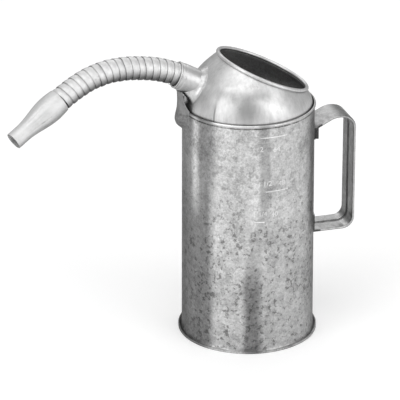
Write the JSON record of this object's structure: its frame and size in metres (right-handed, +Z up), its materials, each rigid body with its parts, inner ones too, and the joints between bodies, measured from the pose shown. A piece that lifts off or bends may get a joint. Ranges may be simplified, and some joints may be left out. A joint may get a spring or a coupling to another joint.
{
  "type": "measuring can",
  "caption": "Sheet-metal measure for oil with a hooded mouth, a flexible metal pouring spout, a pouring lip and a strap handle.",
  "frame": {"origin": "centre of the foot ring on the table, on the can's axis", "axes": "+Z up along the can, +X towards the handle, -X towards the spout"},
  "size_m": [0.3029, 0.119, 0.2572],
  "materials": {
    "spangled_zinc": "galvanized sheet with spangle",
    "bright_zinc": "smooth bright galvanized sheet",
    "dull_zinc": "dull galvanized strap",
    "steel_wire": "plain steel wire",
    "solder": "tinned and soldered",
    "hose_metal": "satin wound strip",
    "nozzle_metal": "satin drawn sheet"
  },
  "bodies": {
    "can": {"body_wall": "spangled_zinc", "rim_wire": "steel_wire", "base_disc": "spangled_zinc", "pouring_lip": "spangled_zinc", "hood_shell": "bright_zinc", "mouth_bead": "bright_zinc", "mouth_wire": "steel_wire", "spout_flange": "solder", "spout_collar": "bright_zinc", "hose_socket": "hose_metal", "handle_strap": "dull_zinc"},
    "turn_01": {"hose_turn_01": "hose_metal"},
    "turn_02": {"hose_turn_02": "hose_metal"},
    "turn_03": {"hose_turn_03": "hose_metal"},
    "turn_04": {"hose_turn_04": "hose_metal"},
    "turn_05": {"hose_turn_05": "hose_metal"},
    "turn_06": {"hose_turn_06": "hose_metal"},
    "turn_07": {"hose_turn_07": "hose_metal"},
    "turn_08": {"hose_turn_08": "hose_metal"},
    "turn_09": {"hose_turn_09": "hose_metal"},
    "turn_10": {"hose_turn_10": "hose_metal"},
    "turn_11": {"hose_turn_11": "hose_metal"},
    "turn_12": {"hose_turn_12": "hose_metal"},
    "turn_13": {"hose_turn_13": "hose_metal"},
    "turn_14": {"hose_turn_14": "hose_metal"},
    "turn_15": {"hose_turn_15": "hose_metal"},
    "turn_16": {"hose_turn_16": "hose_metal"},
    "turn_17": {"hose_turn_17": "hose_metal"},
    "turn_18": {"hose_turn_18": "hose_metal"},
    "nozzle": {"nozzle_sleeve": "hose_metal", "nozzle_cone": "nozzle_metal"}
  },
  "joints": [
    {"name": "down_bend_01", "type": "hinge", "parent": "can", "child": "turn_01", "pos_m": [-0.0661, 0, 0.239], "axis": [0, -1, 0], "range_deg": [-6, 3]},
    {"name": "down_bend_02", "type": "hinge", "parent": "turn_01", "child": "turn_02", "pos_m": [-0.07164, 0, 0.2413], "axis": [0, -1, 0], "range_deg": [-5.11, 2.56]},
    {"name": "down_bend_03", "type": "hinge", "parent": "turn_02", "child": "turn_03", "pos_m": [-0.07737, 0, 0.24309], "axis": [0, -1, 0], "range_deg": [-4.11, 2.06]},
    {"name": "down_bend_04", "type": "hinge", "parent": "turn_03", "child": "turn_04", "pos_m": [-0.08321, 0, 0.24447], "axis": [0, -1, 0], "range_deg": [-3.31, 1.66]},
    {"name": "down_bend_05", "type": "hinge", "parent": "turn_04", "child": "turn_05", "pos_m": [-0.08912, 0, 0.24551], "axis": [0, -1, 0], "range_deg": [-3.01, 1.51]},
    {"name": "side_bend_06", "type": "hinge", "parent": "turn_05", "child": "turn_06", "pos_m": [-0.09507, 0, 0.24624], "axis": [0.1219, 0, 0.9925], "range_deg": [-12.6, 5.4]},
    {"name": "down_bend_07", "type": "hinge", "parent": "turn_06", "child": "turn_07", "pos_m": [-0.10101, -0.00038, 0.24697], "axis": [0.0623, -0.998, -0.0077], "range_deg": [-3.61, 1.81]},
    {"name": "down_bend_08", "type": "hinge", "parent": "turn_07", "child": "turn_08", "pos_m": [-0.10699, -0.00075, 0.24733], "axis": [0.0623, -0.998, -0.0077], "range_deg": [-4.71, 2.36]},
    {"name": "side_bend_09", "type": "hinge", "parent": "turn_08", "child": "turn_09", "pos_m": [-0.11298, -0.00113, 0.24719], "axis": [-0.0224, -0.0091, 0.9997], "range_deg": [-12.6, 5.4]},
    {"name": "down_bend_10", "type": "hinge", "parent": "turn_09", "child": "turn_10", "pos_m": [-0.11893, -0.00187, 0.24705], "axis": [0.1249, -0.9922, -0.0062], "range_deg": [-5.71, 2.86]},
    {"name": "down_bend_11", "type": "hinge", "parent": "turn_10", "child": "turn_11", "pos_m": [-0.12484, -0.00261, 0.24632], "axis": [0.1249, -0.9922, -0.0062], "range_deg": [-6.01, 3.01]},
    {"name": "side_bend_12", "type": "hinge", "parent": "turn_11", "child": "turn_12", "pos_m": [-0.13064, -0.00333, 0.24496], "axis": [-0.2231, -0.0342, 0.9742], "range_deg": [-12.6, 5.4]},
    {"name": "down_bend_13", "type": "hinge", "parent": "turn_12", "child": "turn_13", "pos_m": [-0.13638, -0.00443, 0.24361], "axis": [0.1853, -0.9826, 0.008], "range_deg": [-6.01, 3.01]},
    {"name": "down_bend_14", "type": "hinge", "parent": "turn_13", "child": "turn_14", "pos_m": [-0.14195, -0.00549, 0.24165], "axis": [0.1853, -0.9826, 0.008], "range_deg": [-5.01, 2.51]},
    {"name": "side_bend_15", "type": "hinge", "parent": "turn_14", "child": "turn_15", "pos_m": [-0.14733, -0.00653, 0.23921], "axis": [-0.4016, -0.0683, 0.9133], "range_deg": [-12.6, 5.4]},
    {"name": "down_bend_16", "type": "hinge", "parent": "turn_15", "child": "turn_16", "pos_m": [-0.15264, -0.00793, 0.23677], "axis": [0.2413, -0.9699, 0.0335], "range_deg": [-3.21, 1.61]},
    {"name": "down_bend_17", "type": "hinge", "parent": "turn_16", "child": "turn_17", "pos_m": [-0.15779, -0.00931, 0.23403], "axis": [0.2413, -0.9699, 0.0335], "range_deg": [-1.61, 0.81]},
    {"name": "side_bend_18", "type": "hinge", "parent": "turn_17", "child": "turn_18", "pos_m": [-0.16287, -0.01067, 0.23115], "axis": [-0.4741, -0.0876, 0.8761], "range_deg": [-12.6, 5.4]},
    {"name": "down_bend_19", "type": "hinge", "parent": "turn_18", "child": "nozzle", "pos_m": [-0.16785, -0.0124, 0.22828], "axis": [0.294, -0.9537, 0.0637], "range_deg": [-0.81, 0.41]}
  ],
  "couplings": [
    {"joint": "down_bend_02", "follows": "down_bend_01", "ratio": 0.85},
    {"joint": "down_bend_03", "follows": "down_bend_01", "ratio": 0.6833},
    {"joint": "down_bend_04", "follows": "down_bend_01", "ratio": 0.55},
    {"joint": "down_bend_05", "follows": "down_bend_01", "ratio": 0.5},
    {"joint": "down_bend_07", "follows": "down_bend_01", "ratio": 0.6},
    {"joint": "down_bend_08", "follows": "down_bend_01", "ratio": 0.7833},
    {"joint": "side_bend_09", "follows": "side_bend_06", "ratio": 1},
    {"joint": "down_bend_10", "follows": "down_bend_01", "ratio": 0.95},
    {"joint": "down_bend_11", "follows": "down_bend_01", "ratio": 1},
    {"joint": "side_bend_12", "follows": "side_bend_06", "ratio": 1},
    {"joint": "down_bend_13", "follows": "down_bend_01", "ratio": 1},
    {"joint": "down_bend_14", "follows": "down_bend_01", "ratio": 0.8333},
    {"joint": "side_bend_15", "follows": "side_bend_06", "ratio": 1},
    {"joint": "down_bend_16", "follows": "down_bend_01", "ratio": 0.5333},
    {"joint": "down_bend_17", "follows": "down_bend_01", "ratio": 0.2667},
    {"joint": "side_bend_18", "follows": "side_bend_06", "ratio": 1},
    {"joint": "down_bend_19", "follows": "down_bend_01", "ratio": 0.1333}
  ]
}
